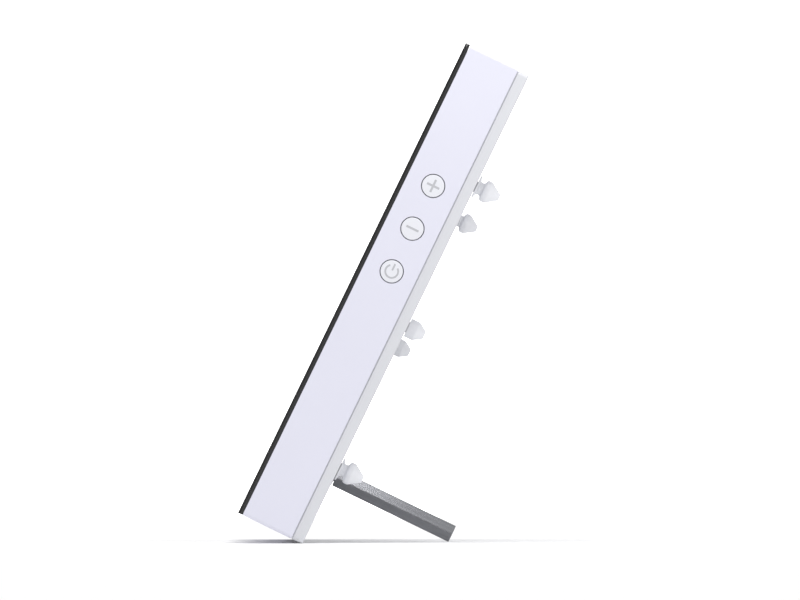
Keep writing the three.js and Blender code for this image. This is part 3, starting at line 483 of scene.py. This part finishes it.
def plus_mark():
    """One cross-shaped face, made from a corner and an arm's end turned four times."""
    arm = GLYPH_STROKE / 2
    quarter = [(arm, arm), (arm, PLUS_REACH), (-arm, PLUS_REACH)]
    work = bmesh.new()
    ring = []
    for turn in range(4):
        for point in quarter:
            corner = Matrix.Rotation(math.pi / 2 * turn, 2) @ Vector(point)
            ring.append(work.verts.new((0, corner.x * MM, corner.y * MM)))
    face = work.faces.new(ring)
    pulled = bmesh.ops.extrude_face_region(work, geom=[face])["geom"]
    moved = [item for item in pulled if isinstance(item, bmesh.types.BMVert)]
    bmesh.ops.translate(work, vec=(-GLYPH_THICKNESS * MM, 0, 0), verts=moved)
    return work


def power_mark():
    """A ring with a gap at the top and a bar through the gap."""
    work = bmesh.new()
    inner = (POWER_RADIUS - POWER_STROKE / 2) * MM
    outer = (POWER_RADIUS + POWER_STROKE / 2) * MM
    direction = Vector((0, math.sin(POWER_GAP), math.cos(POWER_GAP)))
    corners = [direction * inner, direction * outer, direction * outer, direction * inner]
    depths = (0, 0, -GLYPH_THICKNESS * MM, -GLYPH_THICKNESS * MM)
    ring = [work.verts.new(corner + Vector((depth, 0, 0))) for corner, depth in zip(corners, depths)]
    start = work.faces.new(ring)
    bmesh.ops.spin(work, geom=[start, *start.edges, *start.verts], cent=(0, 0, 0), axis=(-1, 0, 0),
                   dvec=(0, 0, 0), angle=2 * math.pi - 2 * POWER_GAP, steps=40,
                   use_merge=False, use_duplicate=False)
    bottom, top = POWER_BAR_ENDS
    bar = stroke((0, bottom), (0, top), POWER_STROKE)
    copy = bpy.data.meshes.new("bar")
    bar.to_mesh(copy)
    bar.free()
    work.from_mesh(copy)
    bpy.data.meshes.remove(copy)
    return work


GLYPHS = {"plus": plus_mark, "minus": minus_mark, "power": power_mark}

# ---- leg -----------------------------------------------------------------------------

BAR_PAST_WASHER = 0.3
WASHER_INNER = 2.35
WASHER_OUTER = 3.3
WASHER_THICKNESS = 0.5
WASHER_EDGE = 0.15
THREAD_PITCH = 0.7
THREAD_CREST = 2.0
THREAD_ROOT = 1.62
THREAD_START = 0.2  # above the stud's end
STUD_IN_BAR = 0.2
STUD_PLAIN = 0.9  # length without thread in all


def make_leg():
    low, high = seat("leg")
    centre = (low + high) / 2
    washer_low, washer_high = seat("leg_washer")
    base = washer_high.y + BAR_PAST_WASHER * MM
    flats = high.z - low.z
    bar = bmesh.new()
    bmesh.ops.create_cone(bar, cap_ends=True, segments=6, radius1=flats / math.sqrt(3),
                          radius2=flats / math.sqrt(3), depth=high.y - base)
    bmesh.ops.rotate(bar, cent=(0, 0, 0), matrix=Matrix.Rotation(-math.pi / 2, 3, "X"), verts=bar.verts)
    upright_turn = Matrix.Rotation(0 if corner_on_side(bar) else math.pi / 6, 3, "Y")
    bmesh.ops.rotate(bar, cent=(0, 0, 0), matrix=upright_turn, verts=bar.verts)
    bmesh.ops.translate(bar, vec=(centre.x, (base + high.y) / 2, centre.z), verts=bar.verts)
    leg = finish_piece(bar, "leg_bar", "screw_leg", ALUMINIUM, ["leg"])
    soften(leg, rounding=0.16)
    finish_piece(threaded_stud(low.y, base, centre), "leg_stud", "screw_leg", ALUMINIUM, (),
                 smooth=50)
    ring = rounded_profile([
        (WASHER_INNER, 0, 0), (WASHER_OUTER, 0, WASHER_EDGE),
        (WASHER_OUTER, WASHER_THICKNESS, WASHER_EDGE), (WASHER_INNER, WASHER_THICKNESS, 0),
        (WASHER_INNER, 0, 0)])
    work = spun(ring, Vector((centre.x, washer_low.y, centre.z)), steps=48)
    finish_piece(work, "leg_base_washer", "leg_seat", RUBBER, ["leg_washer"])


def corner_on_side(bar):
    """True when the bar already has a corner that points along x."""
    widest = max(vertex.co.x for vertex in bar.verts)
    return sum(abs(vertex.co.x - widest) < 1e-7 for vertex in bar.verts) == 2


def threaded_stud(start, end, centre):
    """A stud with V-shaped rings at the thread's pitch, plain just under the bar."""
    length = (end - start) / MM
    rings = int((length - STUD_PLAIN) / THREAD_PITCH)
    profile = [(0, 0), (THREAD_ROOT * 0.9, 0)]
    for ring in range(rings):
        low = THREAD_START + ring * THREAD_PITCH
        profile.append((THREAD_ROOT, low))
        profile.append((THREAD_CREST, low + THREAD_PITCH * 0.44))
        profile.append((THREAD_CREST, low + THREAD_PITCH * 0.56))
    profile.append((THREAD_ROOT, THREAD_START + rings * THREAD_PITCH))
    profile.append((THREAD_ROOT, length + STUD_IN_BAR))
    profile.append((0, length + STUD_IN_BAR))
    scaled = [(radius * MM, height * MM) for radius, height in profile]
    return spun(scaled, Vector((centre.x, start, centre.z)), steps=40)


# ---- pegs and knobs ------------------------------------------------------------------
# Each corner is a radius, a height and the rounding of its edge, in millimetres.

SNAP_END = [(0, 0, 0), (1.2, 0, 0), (2.9, 1.4, 0.15), (2.9, 1.7, 0), (2, 1.7, 0.1)]
SHANK_RADIUS = 2
PEG_HEAD = [
    (4.3, 0, 0.12), (4.3, 0.45, 0.2), (2.36, 0.98, 0.45), (2.36, 2.35, 0.35), (3.95, 3.0, 0.6),
    (4.0, 4.7, 1.3), (1.1, 9.1, 0.35), (0, 9.1, 0)]
KNOB_HEAD = [(3.5, 0, 0.1), (3.5, 3.2, 0.5), (1.4, 6.5, 0.35), (0, 6.5, 0)]


def make_snap_in(node, name, head):
    """A moulded piece pushed into the cover, with a barbed end inside and its head outside."""
    low, high = seat(node)
    centre = (low + high) / 2
    foot = (high.y - low.y) / MM - head[-1][1]
    outside = [(radius, foot + height, rounding) for radius, height, rounding in head]
    profile = rounded_profile([*SNAP_END, (SHANK_RADIUS, foot, 0), *outside])
    work = spun(profile, Vector((centre.x, low.y, centre.z)))
    finish_piece(work, name, "frame", PEG_WHITE, [node], smooth=45)


def make_pegs():
    for row in ("lower", "upper"):
        for side in ("left", "right"):
            make_snap_in(f"mount_peg_{row}_{side}", f"peg_{row}_{side}", PEG_HEAD)
    for side in ("left", "right"):
        make_snap_in(f"locating_knob_{side}", f"knob_{side}", KNOB_HEAD)


# ---- small metal ---------------------------------------------------------------------

TONGUE_HALF_WIDTH = 2.6
TONGUE_START = 1.7  # from the socket's inner end
TONGUE_STOP = 1.1  # short of the socket's mouth
TONGUE_UNDER = 0.35
TONGUE_OVER = 0.25
CONTACTS = 5
CONTACT_PITCH = 0.9
CONTACT_HALF_WIDTH = 0.2
CONTACT_START = 2
CONTACT_STOP = 1.6
CONTACT_TOP = 0.33


def make_screws():
    for number in range(1, 7):
        node = f"cover_screw_{number}"
        refined(node, f"back_screw_{number}", "frame", DARK_STEEL, rounding=0.06)


def make_socket():
    refined("usb_power_socket", "power_socket_shell", "frame", PLATED, rounding=0.06)
    low, high = seat("usb_power_socket")
    centre = (low + high) / 2
    over = centre.z + TONGUE_OVER * MM
    tongue = box_work(
        Vector((centre.x - TONGUE_HALF_WIDTH * MM, low.y + TONGUE_START * MM,
                centre.z - TONGUE_UNDER * MM)),
        Vector((centre.x + TONGUE_HALF_WIDTH * MM, high.y - TONGUE_STOP * MM, over)))
    soften(finish_piece(tongue, "socket_tongue", "frame", EPOXY, ()), rounding=0.08)
    for number in range(CONTACTS):
        x = centre.x + (number - CONTACTS // 2) * CONTACT_PITCH * MM
        half = CONTACT_HALF_WIDTH * MM
        contact = box_work(
            Vector((x - half, low.y + CONTACT_START * MM, over)),
            Vector((x + half, high.y - CONTACT_STOP * MM, centre.z + CONTACT_TOP * MM)))
        finish_piece(contact, f"socket_contact_{number + 1}", "frame", GOLD, ())


# ---- pieces kept from the CAD, mostly inside -----------------------------------------

FIXINGS = [f"{kind}_{number}" for kind in ("display_clip", "clip_screw", "board_screw")
           for number in range(1, 5)]
KEPT = {
    FOAM: ["panel_tape"],
    CELL: ["lcd_cell"],
    ACRYLIC: ["light_guide"],
    PLATED: ["backlight_tray", "card_socket", "switch_plus", "switch_minus", "switch_power",
             "button_board_screw_1", "button_board_screw_2", *FIXINGS],
    BOARD: ["main_board", "button_board"],
    EPOXY: ["processor", "memory_chip", "speaker_left", "speaker_right",
            "plunger_plus", "plunger_minus", "plunger_power"],
    POLYIMIDE: ["display_ribbon"],
    JACKET: ["button_cable"],
    BRASS: ["leg_insert"],
}


def dress_kept_nodes():
    for material, nodes in KEPT.items():
        for node in nodes:
            CAD[node].data.materials.clear()
            CAD[node].data.materials.append(material)


# ---- studio --------------------------------------------------------------------------

LENS = 257.1
SENSOR = 36
CAMERA_PLACE = (2.1172, -0.0373, 0.0122)
CAMERA_YAW = math.radians(1.239)
CAMERA_PITCH = math.radians(2.089)
FLOOR_SIZE = 24
BACKDROP_SIZE = 4
BACKDROP_PLACE = (-6, 0, 2)
SKY_STRENGTH = 0.74


def make_camera():
    data = bpy.data.cameras.new("studio_camera")
    camera = bpy.data.objects.new("studio_camera", data)
    bpy.context.scene.collection.objects.link(camera)
    data.sensor_width = SENSOR
    data.lens = LENS
    data.clip_end = 50
    camera.location = CAMERA_PLACE
    level = math.cos(CAMERA_PITCH)
    forward = Vector((-level * math.cos(CAMERA_YAW), level * math.sin(CAMERA_YAW),
                      math.sin(CAMERA_PITCH)))
    camera.rotation_euler = forward.to_track_quat("-Z", "Y").to_euler()
    bpy.context.scene.camera = camera


def stage_sheet(name, material, size, turn, place):
    work = bmesh.new()
    bmesh.ops.create_grid(work, x_segments=1, y_segments=1, size=size / 2)
    bmesh.ops.transform(work, matrix=Matrix.Translation(place) @ turn, verts=work.verts)
    mesh = bpy.data.meshes.new(name)
    work.to_mesh(mesh)
    work.free()
    mesh.materials.append(material)
    sheet = bpy.data.objects.new(name, mesh)
    bpy.context.scene.collection.objects.link(sheet)


def make_stage():
    floor, _, shader = new_material("white_studio_floor", "#fdfdfd", 0.9)
    shader.inputs["Specular IOR Level"].default_value = 0
    stage_sheet("studio_floor", floor, FLOOR_SIZE, Matrix.Identity(4), (0, 0, 0))
    lit, _, shader = new_material("lit_white_backdrop", "#fdfdfd", 0.9)
    shader.inputs["Emission Color"].default_value = (1, 1, 1, 1)
    shader.inputs["Emission Strength"].default_value = 1.0
    upright = Matrix.Rotation(math.pi / 2, 4, "Y")
    stage_sheet("studio_backdrop", lit, BACKDROP_SIZE, upright, BACKDROP_PLACE)


def area_light(name, place, target, size, watts):
    """A softbox whose place and target are given in the upright axes."""
    data = bpy.data.lights.new(name, "AREA")
    data.shape = "RECTANGLE"
    data.size, data.size_y = size
    data.energy = watts
    light = bpy.data.objects.new(name, data)
    bpy.context.scene.collection.objects.link(light)
    light.location = LEAN @ Vector(place)
    aim = LEAN @ Vector(target) - light.location
    light.rotation_euler = aim.to_track_quat("-Z", "Y").to_euler()


def sun_light(name, aim, strength, softness):
    """A broad light from one direction; softness is its width in degrees."""
    data = bpy.data.lights.new(name, "SUN")
    data.energy = strength
    data.angle = math.radians(softness)
    light = bpy.data.objects.new(name, data)
    bpy.context.scene.collection.objects.link(light)
    light.rotation_euler = Vector(aim).to_track_quat("-Z", "Y").to_euler()


def make_lights():
    world = bpy.data.worlds.new("studio_world")
    world.use_nodes = True
    bpy.context.scene.world = world
    sky = world.node_tree.nodes["Background"]
    sky.inputs["Color"].default_value = (1, 1, 1, 1)
    sky.inputs["Strength"].default_value = SKY_STRENGTH
    bpy.context.scene.view_settings.view_transform = "Standard"
    sun_light("broad_key", aim=(-0.3, 0.1, -0.95), strength=0.87, softness=50)
    leg = middle("leg")
    reflected = Vector((0.246, -0.085, 0.435))  # where the bar's upper flat mirrors the view
    area_light("leg_softbox", place=leg + reflected, target=leg, size=(0.13, 0.08), watts=0.42)
    area_light("top_softbox", place=(0.33, 0.01, 0.33), target=(0.131, 0.01, 0.17),
               size=(0.12, 0.12), watts=0.09)


make_camera()
make_glass()
make_shells()
make_buttons()
make_leg()
make_pegs()
make_screws()
make_socket()
dress_kept_nodes()
make_stage()
make_lights()

bpy.context.view_layer.update()
